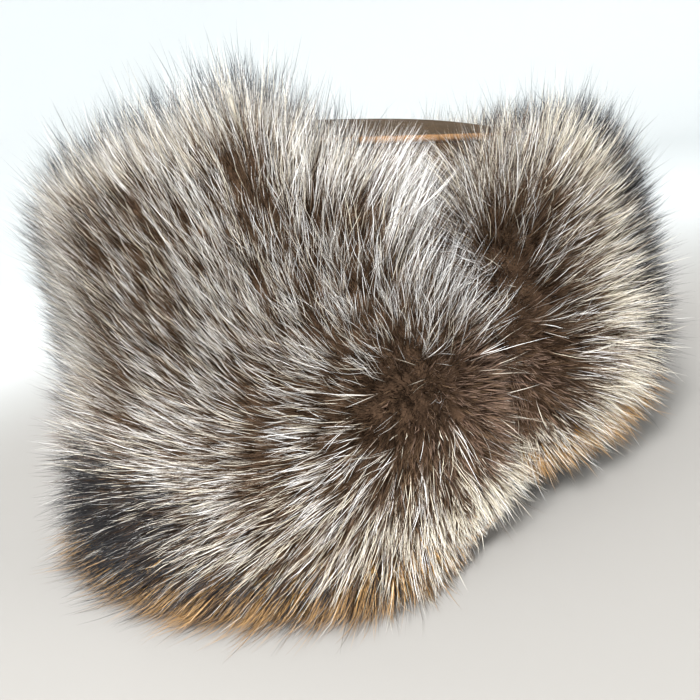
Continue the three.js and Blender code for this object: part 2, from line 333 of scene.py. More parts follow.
add_mesh(
    "crown_piping_cord", piping_points(288, 10), grid_faces(288, 10, True, True),
    piping_leather, "crown_piping",
)

# The headband: a smooth band of tan leather inside the rim, with its lower edge at the rim, where it
# shows below the fur at the forehead.
headband_leather = leather("headband_leather", (0.44, 0.22, 0.08), (0.66, 0.4, 0.2), 0.001, 0.5, 0.00012)
headband_wall = 0.002
headband_height = 0.030
ring_wall(
    "headband_leather", -headband_wall, headband_wall, seam_gap,
    lambda y, low: low + headband_height, rows=10,
    crease=0.0002, seed=5, finish=headband_leather, node="headband",
)

# The ear-and-neck flap's leather: one piece from ear to ear round the back, sewn to the rim and turned up
# against the crown. Only its edges and its inside above the crown show.
flap_leather = leather("flap_leather", (0.2, 0.115, 0.045), (0.4, 0.25, 0.11), 0.0014, 0.4)
crown_outer = seam_gap + crown_wall
bulge_turn = math.radians(112)
flap_wall = 0.0018
flap_crease = 0.0005
# angles: from the flap's middle to its ends, at the rim and at its top edge. fold_drop: how far its fold
# hangs below the rim. bulge: how far it stands off the crown. middle_drop and corner_drop: how much lower
# its top edge is there, as shares of its height. fringe: how far its fur spreads out low down, as a share
# of its depth.
ear_flap = {
    "middle": 0, "angles": (108, 89), "height": 0.147, "fold_drop": 0.031, "bulge": 0.008,
    "middle_drop": 0.15, "corner_drop": 0.2, "fringe": 0.85,
}
visor = {
    "middle": 180, "angles": (68, 77), "height": 0.096, "fold_drop": 0, "bulge": 0.006,
    "middle_drop": 0.2, "corner_drop": 0.07, "fringe": 0.3,
}


def flap_angle(flap, across, up):
    """Degrees round the head. across is -1 to 1 between the flap's ends, and up 0 at the rim, 1 on top."""
    low, high = flap["angles"]
    return flap["middle"] + across * (low - (low - high) * np.clip(up, 0, 1) ** 2)


def flap_point(flap, across, up, out, lift=0):
    """A point out from the inside of the turned-up leather, and lift above its height there."""
    share = np.minimum(np.abs(across), 1)
    tall = 1 - flap["middle_drop"] * (1 - share) - flap["corner_drop"] * smooth(share, 0.8, 1)
    angle = flap_angle(flap, across, up)
    stand_off = crown_outer + seam_gap + flap["bulge"] * np.sin(bulge_turn * up)
    height = rim_at(angle) + seam_gap + flap["height"] * tall * up + lift
    return oval_point(angle, stand_off + out, height)


def flap_sheet(name, flap, columns, node):
    """The flap's leather from the fold below the rim up to its top edge, with rounded edges."""
    shares, sides, edge = sheet_profile(22)
    across = np.linspace(-1, 1, columns)[:, None]
    fold_share = flap["fold_drop"] / (flap["fold_drop"] + flap["height"])
    up = np.clip((shares - fold_share) / (1 - fold_share), 0, 1)
    hang = flap["fold_drop"] * np.clip(1 - shares / max(fold_share, 1e-6), 0, 1)
    angle = flap_angle(flap, across, up)
    swell = flap_crease * soft_creases(angle, shares * 0.15, 11) * np.sin(math.pi * shares) ** 0.5
    out = flap_wall / 2 * (1 + sides) + swell
    points = flap_point(flap, across, up, out, edge * flap_wall / 2 - hang)
    rows = len(shares)
    faces = grid_faces(columns, rows, False, True)
    # One face closes each end
    faces.append(tuple(range(rows))[::-1])
    faces.append(tuple(range((columns - 1) * rows, columns * rows)))
    add_mesh(name, points, faces, flap_leather, node)


flap_sheet("ear_flap_inner_leather", ear_flap, 110, "ear_flap_leather")

# The ear-and-neck flap's fur: raccoon pelt, with a deep woolly brown underfur and long guard hair that
# is banded grey, cream and black. It parts low on each side of the head, and lies away from there.
fur_depth = 0.031
fur_top = 0.016
fur_base = flap_wall + 0.0005
# The fur ends just past the leather's ends, rounded over this turn, in radians, down to this share of depth
fur_end, end_turn, end_depth = 1.035, 0.21, 0.14
# Towards the ears the hem rises off the table, and its depth and its fringe get less by these shares
hem_rise, hem_tuck, hem_narrow = 0.009, 0.35, 0.7
# The pelt in section, from the table up and over the top edge. Each line gives, as shares, how far up the
# leather it is, how far down from there to the table, its depth, its fringe and its rise over the edge.
pelt_sections = (
    (0, 1, 0.1, 0, 0),
    (0, 1, 0.75, 0.8, 0),
    (0, 0.78, 1, 1, 0),
    (0.02, 0, 1, 0.7, 0),
    (0.3, 0, 0.96, 0.25, 0),
    (0.6, 0, 0.88, 0.05, 0),
    (0.84, 0, 0.84, 0, 0),
    (1, 0, 0.74, 0, 0.05),
    (1, 0, 0.44, 0, 0.72),
    (1, 0, 0.16, 0, 1),
    (1, 0, 0, 0, 0.1),
)


def end_shape(flap, across):
    """1 along the flap, falling to a rounded edge at its ends."""
    turn = end_turn / math.radians(flap["angles"][0])
    into = np.clip((np.abs(across) - fur_end + turn) / turn, 0, 1)
    return end_depth + (1 - end_depth) * np.sqrt(1 - into**2)


def pelt_surface(flap, columns, steps):
    """The pelt's outside: its shares across the flap, its places up the section, and the points and outward
    directions of a smooth grid over both."""
    across = np.linspace(-fur_end, fur_end, columns)
    shape = end_shape(flap, across)
    lines = []
    for up, low, thick, spread, over in pelt_sections:
        turn_in = smooth(side_angle(flap_angle(flap, across, up)), 78, 114)
        fringe = flap["fringe"] * spread * (1 - hem_narrow * turn_in)
        out = fur_base + fur_depth * (thick * (1 - hem_tuck * turn_in * low) + fringe) * shape
        lift = over * fur_top * shape - low * (rim_height - hem_rise * turn_in + seam_gap)
        lines.append(flap_point(flap, across, np.full(columns, float(up)), out, lift))
    lines = np.stack(lines)
    place = np.linspace(0, len(lines) - 1, (len(lines) - 1) * steps + 1)
    # A smooth curve through the section's lines, from the two before and the two after each place
    first = np.minimum(place.astype(int), len(lines) - 2)
    share = (place - first)[:, None, None]
    before, here = lines[np.maximum(first - 1, 0)], lines[first]
    ahead, after = lines[first + 1], lines[np.minimum(first + 2, len(lines) - 1)]
    grid = here + 0.5 * share * (
        ahead - before
        + share * (2 * before - 5 * here + 4 * ahead - after)
        + share**2 * (3 * (here - ahead) + after - before)
    )
    grid = grid.transpose(1, 0, 2)
    normal = unit(np.cross(np.gradient(grid, axis=0), np.gradient(grid, axis=1)))
    facing = (normal * oval_out(flap_angle(flap, across, 0.5))[:, None, :]).sum(-1)
    if facing.mean() < 0:
        normal = -normal
    return across, place, grid, normal


def ripple(x, z, seed, length):
    """An uneven field from -1 to 1 that looks random, with patches about length wide, drawn out upwards."""
    draw = np.random.default_rng(seed)
    total = 0
    for _ in range(9):
        turn = draw.uniform(-1.1, 1.1)
        wave = 2 * math.pi / (length * draw.uniform(0.7, 1.9))
        total = total + np.sin(wave * (x * math.cos(turn) + 0.45 * z * math.sin(turn)) + draw.uniform(0, 6.3))
    return np.clip(total / 4, -1, 1)


parting_side = 98
parting_low, parting_high = 0.050, 0.072


def combed(side, height, on_visor):
    """How the hair lies: shares towards the back of the cap, up, and out from the pelt. It's swept away on
    both sides of the parting, up above it and down below it."""
    above = height - parting_low - (parting_high - parting_low) * smooth(side, 55, 90)
    if on_visor:
        # Forward round the forehead, and back across the flap's fur above the parting
        front = 180 - side
        crossing = smooth(front, 52, 74) * smooth(above, 0.005, 0.04)
        back = -0.32 * smooth(front, 0, 25) + 1.05 * crossing
        rise = np.tanh(above / 0.072) * (1 - 0.3 * smooth(above, 0, 0.03) * smooth(side, 122, 142))
    else:
        # Away from the parting on both sides of it, most of all at its own height
        swept = np.exp(-((above / np.where(above > 0, 0.038, 0.062)) ** 2))
        back = 0.85 * np.clip((parting_side - side) / 24, -0.8, 1) * swept * smooth(side, 0, 30)
        back = back - 0.28 * smooth(side, 68, 84) * smooth(above, 0.04, 0.09)
        back = back - 0.25 * smooth(side, 86, 98) * smooth(above, 0.02, 0.06)
        rise = np.where(above > 0, np.tanh(above / 0.036), np.tanh(above / 0.045))
    out = 0.38 + 0.34 * smooth(-side, -38, -14) + 0.16 * smooth(side, 112, 130)
    out = out + 0.25 * smooth(-height, -0.040, -0.008) * (1 - 0.6 * smooth(side, 84, 110))
    return back, rise, out


# Kinds of hair: root, body and tip colours, and where along the hair the tip's colour starts
guard_kinds = {
    "silver": ((0.055, 0.034, 0.020), (0.51, 0.465, 0.41), (0.82, 0.80, 0.765), 0.55),
    "white": ((0.36, 0.30, 0.25), (0.90, 0.88, 0.86), (0.97, 0.97, 0.97), 0.55),
    "brown": ((0.024, 0.014, 0.008), (0.070, 0.040, 0.022), (0.15, 0.09, 0.052), 0.62),
    "banded": ((0.050, 0.030, 0.018), (0.72, 0.65, 0.54), (0.028, 0.019, 0.014), 0.68),
    "cream": ((0.11, 0.065, 0.033), (0.70, 0.63, 0.49), (0.90, 0.86, 0.76), 0.60),
    "slate_tipped": ((0.58, 0.53, 0.46), (0.72, 0.69, 0.64), (0.020, 0.024, 0.032), 0.42),
    "black": ((0.030, 0.019, 0.012), (0.010, 0.008, 0.008), (0.006, 0.006, 0.008), 0.40),
    "tan": ((0.36, 0.19, 0.065), (0.52, 0.31, 0.13), (0.16, 0.09, 0.04), 0.70),
}
under_kinds = {
    "brown_wool": ((0.052, 0.031, 0.017), (0.115, 0.072, 0.042), (0.19, 0.125, 0.077), 0.6),
    "mauve_wool": ((0.085, 0.053, 0.038), (0.18, 0.117, 0.085), (0.29, 0.20, 0.155), 0.6),
    "dark_wool": ((0.020, 0.011, 0.006), (0.042, 0.024, 0.014), (0.070, 0.043, 0.026), 0.6),
    "tan_wool": ((0.38, 0.19, 0.05), (0.58, 0.34, 0.12), (0.70, 0.46, 0.20), 0.6),
    "cream_wool": ((0.46, 0.39, 0.29), (0.74, 0.675, 0.56), (0.90, 0.85, 0.76), 0.6),
}


def hair_kind_group():
    """One kind of hair, root to tip, laid over the kinds before it where the chart's column is its own."""
    group = bpy.data.node_groups.new("hair_kind", "ShaderNodeTree")
    sockets = group.interface
    for name, kind in (
        ("Others", "Color"), ("Column", "Float"), ("Along", "Float"), ("Number", "Float"),
        ("Root", "Color"), ("Body", "Color"), ("Tip", "Color"), ("Tip Start", "Float"),
    ):
        sockets.new_socket(name, in_out="INPUT", socket_type="NodeSocket" + kind)
    sockets.new_socket("Color", in_out="OUTPUT", socket_type="NodeSocketColor")
    nodes, links = group.nodes, group.links
    given, result = nodes.new("NodeGroupInput"), nodes.new("NodeGroupOutput")

    def mixed(factor, first, second):
        mix = new_node(nodes, "Mix", data_type="RGBA")
        links.new(factor, mix.inputs["Factor"])
        links.new(first, mix.inputs["A"])
        links.new(second, mix.inputs["B"])
        return mix.outputs["Result"]

    body = new_node(
        nodes, "MapRange", {"From Min": 0.22, "From Max": 0.52}, interpolation_type="SMOOTHSTEP"
    )
    links.new(given.outputs["Along"], body.inputs["Value"])
    tip_end = new_node(nodes, "Math", {1: 0.3}, operation="ADD")
    links.new(given.outputs["Tip Start"], tip_end.inputs[0])
    tip = new_node(nodes, "MapRange", interpolation_type="SMOOTHSTEP")
    links.new(given.outputs["Along"], tip.inputs["Value"])
    links.new(given.outputs["Tip Start"], tip.inputs["From Min"])
    links.new(tip_end.outputs[0], tip.inputs["From Max"])
    own = new_node(nodes, "Math", {2: 0.5}, operation="COMPARE")
    links.new(given.outputs["Column"], own.inputs[0])
    links.new(given.outputs["Number"], own.inputs[1])
    rooted = mixed(body.outputs["Result"], given.outputs["Root"], given.outputs["Body"])
    tipped = mixed(tip.outputs["Result"], rooted, given.outputs["Tip"])
    chosen = mixed(own.outputs[0], given.outputs["Others"], tipped)
    links.new(chosen, result.inputs["Color"])
    return group


hair_kind = hair_kind_group()
darkest_tone, brightest_tone = 0.62, 1.22


def hair_finish(name, kinds, roughness, gloss):
    """Hair coloured from its chart: the column is the kind and its tone, and the row runs root to tip."""
    finish, nodes, links, shader = new_finish(name, gloss, roughness)
    chart = new_node(nodes, "UVMap", uv_map="OFBake")
    axes = new_node(nodes, "SeparateXYZ")
    links.new(chart.outputs["UV"], axes.inputs[0])
    wide = new_node(nodes, "Math", {1: len(kinds)}, operation="MULTIPLY")
    links.new(axes.outputs["X"], wide.inputs[0])
    column = new_node(nodes, "Math", operation="FLOOR")
    links.new(wide.outputs[0], column.inputs[0])
    within = new_node(nodes, "Math", operation="FRACT")
    links.new(wide.outputs[0], within.inputs[0])
    tone = new_node(nodes, "MapRange", {"To Min": darkest_tone, "To Max": brightest_tone})
    links.new(within.outputs[0], tone.inputs["Value"])
    colour = None
    for number, (root, body, tip, tip_start) in enumerate(kinds.values()):
        values = {"Number": number, "Root": (*root, 1), "Body": (*body, 1), "Tip": (*tip, 1)}
        values["Tip Start"] = tip_start
        kind = new_node(nodes, "Group", values, node_tree=hair_kind)
        links.new(column.outputs[0], kind.inputs["Column"])
        links.new(axes.outputs["Y"], kind.inputs["Along"])
        if colour:
            links.new(colour, kind.inputs["Others"])
        colour = kind.outputs["Color"]
    toned = new_node(nodes, "VectorMath", operation="SCALE")
    links.new(colour, toned.inputs[0])
    links.new(tone.outputs["Result"], toned.inputs["Scale"])
    links.new(toned.outputs["Vector"], shader.inputs["Base Color"])
    return finish


guard_finish = hair_finish("guard_hair", guard_kinds, roughness=0.38, gloss=0.30)
under_finish = hair_finish("underfur", under_kinds, roughness=0.9, gloss=0.05)


def near(side, height, middle, spread):
    """A soft round patch on both sides of the cap, 1 at its middle. Side in degrees, height in metres."""
    return np.exp(-(((side - middle[0]) / spread[0]) ** 2) - ((height - middle[1]) / spread[1]) ** 2)


def visor_hem(side):
    """Height of the bright hem of the visor's fur, which rises towards the forehead."""
    return 0.031 + 0.012 * smooth(side, 118, 150)


def guard_mix(side, height, arc, row, on_visor):
    """How much of each kind of guard hair grows at a place, in the order of guard_kinds."""
    top = smooth(row, 6.8, 7.8)
    bright_hem = near(side, height, (110, 0.028), (26, 0.016))
    under_hem = smooth(-row, -1.9, -1.1)
    if on_visor:
        rim = smooth(side, 122, 136)
        front = smooth(side, 138, 151)
        below_hem = smooth(visor_hem(side) - height, -0.003, 0.006)
        bright_hem = smooth(visor_hem(side) + 0.022 - height, 0, 0.016) * (1 - below_hem)
        parted = near(side, height, (112, 0.064), (13, 0.022))
        upper_middle = near(side, height, (113, 0.130), (13, 0.026))
        kinds = {
            "silver": 0.30,
            "white": (0.12 + 0.30 * (1 - rim)) * (1 - 0.8 * parted),
            "brown": 0.34 + 0.60 * (1 - rim) + 1.2 * upper_middle + parted,
            "banded": 0.30 + 0.15 * rim,
            "cream": 0.08 + (0.55 * rim + 0.4 * top) * (1 - 0.9 * front) + 1.2 * bright_hem,
            "slate_tipped": 1.0 * front + 1.4 * top,
            "black": 5.0 * front + 1.0 * top * smooth(side, 112, 130) + 0.02,
            "tan": 9 * np.maximum(under_hem, below_hem),
        }
    else:
        patch = ripple(arc, height, 21, 0.036)
        fleck = ripple(arc, height, 22, 0.010)
        shaded = near(side, height, (48, 0.150), (13, 0.030))
        shaded = shaded + near(side, height, (38, 0.110), (9, 0.030))
        shaded = shaded + near(side, height, (98, 0.046), (17, 0.014))
        light = np.clip(0.49 + 0.6 * patch + 0.5 * fleck, 0.02, 1)
        light = light * (1 - 0.6 * np.clip(shaded, 0, 1))
        low = smooth(-height, -0.029, -0.018) * (1 - smooth(side, 76, 90))
        lowest = smooth(-height, -0.021, -0.013) * (1 - smooth(side, 84, 98))
        light = light * (1 - 0.28 * smooth(-height, -0.100, -0.060))
        edge = np.maximum(smooth(-side, -31, -14) * smooth(height, 0.050, 0.085), top)
        crossing = near(side, height, (101, 0.130), (7, 0.055))
        black_patch = near(side, height, (28, 0.034), (17, 0.017))
        parted = near(side, height, (102, 0.066), (13, 0.020))
        ear = smooth(side, 84, 98)
        spare_white = 0.10 + 0.12 * smooth(side, 70, 92)
        kinds = {
            "silver": 0.80 * light * (1 - low) * (1 - 0.6 * edge) * (1 - 0.6 * parted),
            "white": spare_white * (1 - low) * (1 - parted) + 0.8 * crossing + 0.45 * edge,
            "brown": 0.66 * (1.05 - light) * (1 - 0.7 * edge) + 0.5 * parted,
            "banded": 0.20 * (1 - low),
            "cream": (0.05 + 1.6 * bright_hem + 0.12 * edge) * (1 - low),
            "slate_tipped": 2.4 * edge,
            "black": 9 * black_patch + 1.6 * low * (1 - 0.75 * lowest) + 0.02,
            "tan": 1.3 * lowest + 4.0 * under_hem * ear,
        }
    return np.stack([kinds[name] + np.zeros_like(side) for name in guard_kinds], -1)


def under_mix(side, height, arc, row, on_visor):
    """The same for the underfur, in the order of under_kinds."""
    patch = ripple(arc, height, 31, 0.022)
    low = smooth(-height, -0.024, -0.012) * (1 - smooth(side, 88, 104))
    under_hem = smooth(-row, -2.0, -1.3) * smooth(side, 84, 98)
    hem = near(side, height, (112, 0.024), (26, 0.014))
    if on_visor:
        under_hem = np.maximum(under_hem, smooth(visor_hem(side) - height, -0.003, 0.006))
        hem = smooth(visor_hem(side) + 0.018 - height, 0, 0.012)
    hem = hem * (1 - under_hem)
    top = smooth(row, 6.8, 8.0)
    # Painted shade: dark wool where the hollows are deepest, standing in for the shade that falls there
    painted_hollow_shade = near(side, height, (84, 0.072), (13, 0.017)) + near(side, height, (124, 0.086), (9, 0.034))
    edges = smooth(-side, -33, -16) * smooth(height, 0.05, 0.08) + smooth(side, 134, 148)
    kinds = {
        "brown_wool": 0.8 + 0.3 * patch,
        "mauve_wool": 0.06 + 1.8 * near(side, height, (107, 0.066), (13, 0.034)),
        "dark_wool": 0.9 * (1 - patch) * (1 - plush(side, height)) * smooth(-side, -100, -80) + 3 * painted_hollow_shade,
        "tan_wool": 2.6 * low + 8.0 * under_hem,
        "cream_wool": 2.4 * top + 2.2 * hem + 2.0 * edges,
    }
    return np.stack([np.clip(kinds[name], 0, None) + np.zeros_like(side) for name in under_kinds], -1)


def plush(side, height):
    """1 in the hollow low on the side of the head, where the guard hair is sparse and the wool shows."""
    hollow = 0.85 * near(side, height, (88, 0.072), (14, 0.018))
    hollow = hollow + near(side, height, (109, 0.064), (15, 0.027))
    visor_middle = 0.66 * near(side, height, (116, 0.120), (11, 0.045))
    thin = near(side, height, (86, 0.125), (14, 0.045)) + near(side, height, (98, 0.044), (16, 0.012))
    return np.clip(hollow + visor_middle + 0.45 * thin, 0, 1)


def hair_length(side, height, row):
    """How long the guard hair is, as a share of its usual length."""
    edge = np.maximum(smooth(-side, -44, -24), smooth(row, 6.2, 7.6))
    edge = np.maximum(edge, smooth(-height, -0.034, -0.020) * (1 - smooth(side, 78, 100)))
    crossing = near(side, height, (104, 0.135), (14, 0.050))
    sparse = 0.22 * plush(side, height)
    front = smooth(side, 128, 146)
    low_front = smooth(-height, -0.036, -0.016) * smooth(side, 80, 96) * (1 - smooth(side, 120, 140))
    corner = near(side, height, (107, 0.148), (12, 0.020))
    corner = corner + 0.7 * near(side, height, (90, 0.165), (8, 0.020))
    inside = 0.70 + 0.45 * crossing + 0.15 * front + sparse + 0.75 * corner - 0.50 * low_front
    return inside + (1.04 - inside) * edge


def strand_mesh(name, kinds, finish, points, width, facing, columns):
    """Flat tapering hairs from points[hair][step], width across, as one mesh with its hair chart."""
    count, steps = points.shape[:2]
    aside = unit(np.cross(unit(np.gradient(points, axis=1)), facing[:, None, :]))
    share = np.linspace(0, 1, steps)
    taper = (1 - share**2.6)[None, :, None] * width[:, None, None] / 2
    left, right = points - aside * taper, points + aside * taper
    vertices = np.concatenate(
        [np.stack([left[:, :-1], right[:, :-1]], 2).reshape(count, -1, 3), points[:, -1:]], 1
    )
    per_hair = 2 * (steps - 1) + 1
    quads = np.array([(2 * k, 2 * k + 1, 2 * k + 3, 2 * k + 2) for k in range(steps - 2)])
    last = np.array([2 * steps - 4, 2 * steps - 3, 2 * steps - 2])
    corner_order = np.concatenate([quads.ravel(), last])
    loops = (np.arange(count)[:, None] * per_hair + corner_order).ravel()
    face_sizes = np.tile(np.array([4] * (steps - 2) + [3]), count)
    mesh = bpy.data.meshes.new(name)
    mesh.vertices.add(count * per_hair)
    mesh.vertices.foreach_set("co", vertices.astype(np.float32).ravel())
    mesh.loops.add(len(loops))
    mesh.loops.foreach_set("vertex_index", loops.astype(np.int32))
    mesh.polygons.add(len(face_sizes))
    starts = np.concatenate([[0], np.cumsum(face_sizes)[:-1]])
    mesh.polygons.foreach_set("loop_start", starts.astype(np.int32))
    mesh.polygons.foreach_set("use_smooth", np.ones(len(face_sizes), bool))
    mesh.update(calc_edges=True)
    # The chart: a narrow strip for each hair, inside its kind's column, from its root up to its tip
    chart = mesh.uv_layers.new(name="OFBake")
    edge = np.array([-0.06, 0.06] * (steps - 1) + [0])
    u = (columns[:, None] + edge[None, :]) / len(kinds)
    v = np.repeat(0.03 + 0.94 * share, 2)[:-1][None, :] + np.zeros_like(u)
    uv = np.stack([u, v], -1).reshape(-1, 2)[loops]
    chart.data.foreach_set("uv", uv.astype(np.float32).ravel())
    mesh.materials.append(finish)
    piece = bpy.data.objects.new(name, mesh)
    bpy.context.scene.collection.objects.link(piece)
    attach(piece, "root")


floor_gap = 0.0012
longest_hair = 0.041
pelt_radius = 0.13
hem_place, top_place = 1, 8
haired_places = (0.8, 9.6)
level_up = np.array([0, 0, 1.0])


def tuft_places(draw, flap, surface, span, tufts, sparse):
    """Where tufts stand on a pelt: their middles, outward directions, angles, and places up the section."""
    across, place, grid, normal = surface
    columns, rows = grid.shape[:2]
    up = np.clip((place - hem_place) / (top_place - hem_place), 0, 1)
    angles = flap_angle(flap, across[:, None], up[None, :])
    side = side_angle(angles)
    area = np.linalg.norm(np.cross(np.gradient(grid, axis=0), np.gradient(grid, axis=1)), axis=-1)
    in_span = (across >= span[0]) & (across < span[1])
    haired = (place > haired_places[0]) & (place < haired_places[1])
    dense = 1 + 4 * (flap is visor) * near(side, grid[..., 2], (108, 0.148), (11, 0.020))
    bare = plush(side, grid[..., 2])
    weight = area * in_span[:, None] * haired[None, :] * dense * (1 - sparse * bare)
    cell = draw.choice(weight.size, tufts, p=(weight / weight.sum()).ravel())
    i, j = np.divmod(cell, rows)
    i_share, j_share = draw.random(tufts)[:, None], draw.random(tufts)[:, None]
    i_next, j_next = np.minimum(i + 1, columns - 1), np.minimum(j + 1, rows - 1)

    def between(field):
        low = field[i, j] * (1 - i_share) + field[i_next, j] * i_share
        high = field[i, j_next] * (1 - i_share) + field[i_next, j_next] * i_share
        return low * (1 - j_share) + high * j_share

    return between(grid), unit(between(normal)), angles[i, j], place[j]


def grow(name, flap, surface, span, hairs, coat, seed):
    """A coat of hair over part of a pelt, in tufts whose hairs draw together towards their tips."""
    draw = np.random.default_rng(seed)
    tufts = hairs // coat["tuft"]
    centre, out, angle, row = tuft_places(draw, flap, surface, span, tufts, coat["sparse"])
    side, height = side_angle(angle), centre[:, 2]
    left_or_right = np.where(np.mod(angle, 360) > 180, -1.0, 1.0)
    toward_back = np.cross(level_up, oval_out(angle)) * left_or_right[:, None]
    back, rise, stand = combed(side, height, flap is visor)
    lay = unit(
        out * (stand * coat["stand"])[:, None]
        + toward_back * (back * coat["lie"])[:, None]
        + level_up * (rise * coat["lie"])[:, None]
    )
    wild = coat["wild"] * (1 + coat["ruffle"] * plush(side, height))
    lay = unit(lay + draw.normal(0, 1, lay.shape) * wild[:, None])

    # Each tuft's hairs stand round its middle, lean out at their roots, and draw in towards their tips
    number = np.repeat(np.arange(tufts), coat["tuft"])
    hairs = len(number)
    out = out[number]
    spread = draw.normal(0, coat["spread"], (hairs, 3))
    spread -= (spread * out).sum(-1, keepdims=True) * out
    hair_lay = unit(lay[number] + draw.normal(0, 1, (hairs, 3)) * (0.55 * wild[number])[:, None])
    long_one = 0.35 * (draw.random(hairs) < coat["long_ones"])
    length = coat["length"] * hair_length(side, height, row)[number]
    length *= (0.78 + 0.22 * draw.random(tufts))[number] * (draw.uniform(0.68, 1.12, hairs) + long_one)
    length = np.minimum(length, longest_hair)
    start = unit(hair_lay + 0.75 * out)
    share = np.linspace(0, 1, coat["steps"])
    root = centre[number] + spread - out * coat["sunk"]
    bow = draw.normal(0, coat["bow"], (hairs, 3)) * length[:, None]
    points = (
        root[:, None, :]
        + (length[:, None] * (share - share**2 / 2))[..., None] * start[:, None, :]
        + (length[:, None] * share**2 / 2)[..., None] * hair_lay[:, None, :]
        + (share * (1 - share))[None, :, None] * 4 * bow[:, None, :]
        - (coat["gather"] * share**1.4)[None, :, None] * spread[:, None, :]
    )
    # Hair that would reach the surface below spreads out over it
    sink = np.clip(floor_gap + 0.004 * share[None, :] * draw.random((hairs, 1)) - points[..., 2], 0, None)
    points[..., 2] += sink
    points += oval_out(angle[number])[:, None, :] * (0.5 * sink)[..., None]

    # A tuft's hairs are mostly of one kind and tone, and each is turned a little round its own length
    arc = np.radians(side) * pelt_radius * left_or_right
    amounts = coat["mix"](side, height, arc, row, flap is visor)
    limits = np.cumsum(amounts, -1) / amounts.sum(-1, keepdims=True)
    pick = 0.5 * draw.random(tufts)[number] + 0.5 * draw.random(hairs)
    pick = np.clip((pick - 0.5) * 1.25 + 0.5, 0, 0.9999)
    kind = (pick[:, None] > limits[number]).sum(-1)
    tone = np.clip(draw.normal(0.5, 0.17, tufts)[number] + draw.normal(0, 0.13, hairs), 0.1, 0.9)
    twist = draw.uniform(-1, 1, (hairs, 1)) * 0.9
    facing = out + twist * np.cross(hair_lay, out)
    width = coat["width"] * draw.uniform(0.7, 1.25, hairs)
    strand_mesh(name, coat["kinds"], coat["finish"], points, width, facing, kind + tone)


# The two coats, with sizes in metres. spread: how far hairs stand from their tuft's middle. sunk: how deep
# their roots sit. stand and lie: how much they stand out and lie over. wild and ruffle: how unevenly they
# lie, everywhere and in the plush hollow. gather: how far their tips draw in. bow: how much each is bent.
# sparse: the share that is missing in the hollow, below 0 where more grows there. long_ones: the share that
# is longer than the rest.
guard_coat = {
    "kinds": guard_kinds, "finish": guard_finish, "mix": guard_mix, "tuft": 6, "steps": 4,
    "length": 0.030, "width": 0.00023, "spread": 0.0014, "sunk": 0.004, "stand": 1.0, "lie": 1.0,
    "wild": 0.10, "ruffle": 2.0, "gather": 0.5, "bow": 0.035, "sparse": 0.92, "long_ones": 0.1,
}
under_coat = {
    "kinds": under_kinds, "finish": under_finish, "mix": under_mix, "tuft": 6, "steps": 3,
    "length": 0.0105, "width": 0.00036, "spread": 0.0014, "sunk": 0.002, "stand": 1.2, "lie": 0.9,
    "wild": 0.16, "ruffle": 0, "gather": 0.3, "bow": 0.05, "sparse": -1.4, "long_ones": 0,
}


def undercoat_finish():
    """The close wool under the hair: brown, cloudy and quite matt, with tan near the hem."""
    finish, nodes, links, shader = new_finish("undercoat", 0.05, 0.95)
    place = new_node(nodes, "TexCoord").outputs["Object"]
    cloud = new_node(nodes, "TexNoise", {"Scale": 70, "Detail": 8, "Roughness": 0.7})
    links.new(place, cloud.inputs["Vector"])
    wool = new_node(nodes, "ValToRGB")
    dark, light = wool.color_ramp.elements
    dark.position, light.position = 0.3, 0.72
    dark.color, light.color = (0.022, 0.013, 0.008, 1), (0.13, 0.078, 0.048, 1)
    links.new(cloud.outputs["Fac"], wool.inputs["Fac"])
    axes = new_node(nodes, "SeparateXYZ")
    links.new(place, axes.inputs[0])
    hem = new_node(
        nodes, "MapRange", {"From Min": 0.03, "From Max": 0.004}, interpolation_type="SMOOTHSTEP"
    )
    links.new(axes.outputs["Z"], hem.inputs["Value"])
    tan = new_node(nodes, "Mix", {"B": (0.36, 0.21, 0.09, 1)}, data_type="RGBA")
    links.new(hem.outputs["Result"], tan.inputs["Factor"])
    links.new(wool.outputs["Color"], tan.inputs["A"])
    links.new(tan.outputs["Result"], shader.inputs["Base Color"])
    fibre = new_node(nodes, "TexNoise", {"Scale": 900, "Detail": 4})
    links.new(place, fibre.inputs["Vector"])
    bump = new_node(nodes, "Bump", {"Distance": 0.0012})
    links.new(fibre.outputs["Fac"], bump.inputs["Height"])
    links.new(bump.outputs["Normal"], shader.inputs["Normal"])
    return finish


undercoat = undercoat_finish()
wool_sunk = 0.0035
wool_bumps = 0.0012


def pelt_wool(name, flap, columns, node):
    """The dense mass of wool that the hair stands in."""
    across, _, grid, normal = pelt_surface(flap, columns, 6)
    arc = np.radians(flap_angle(flap, across, 0))[:, None] * pelt_radius
    bumps = wool_bumps * ripple(arc, grid[..., 2], 41, 0.012)
    grid = grid - normal * (wool_sunk + bumps)[..., None]
    grid[..., 2] = np.maximum(grid[..., 2], floor_gap)
    add_mesh(name, grid, grid_faces(*grid.shape[:2]), undercoat, node)


pelt_wool("ear_flap_wool", ear_flap, 161, "ear_flap_fur")
flap_surface = pelt_surface(ear_flap, 321, 16)
# Each coat is grown in lengths, from one end of the flap to the other, so that no piece is too heavy
four_lengths = ((-1.1, -0.5), (-0.5, 0.0), (0.0, 0.5), (0.5, 1.1))
two_lengths = ((-1.1, 0.0), (0.0, 1.1))
whole_length = (-1.1, 1.1)
for number, span in enumerate(four_lengths, 1):
    grow(
        f"ear_flap_guard_hair_{number}", ear_flap, flap_surface, span,
        hairs=22800, coat=guard_coat, seed=100 + number,
    )
for number, span in enumerate(two_lengths, 1):
    grow(
        f"ear_flap_underfur_{number}", ear_flap, flap_surface, span,
        hairs=28000, coat=under_coat, seed=200 + number,
    )

# The visor's leather: a lower flap of the same leather over the forehead, sewn to the rim and turned up in
# front. Its ends lie close to the ear flap's.
flap_sheet("visor_inner_leather", visor, 72, "visor_leather")

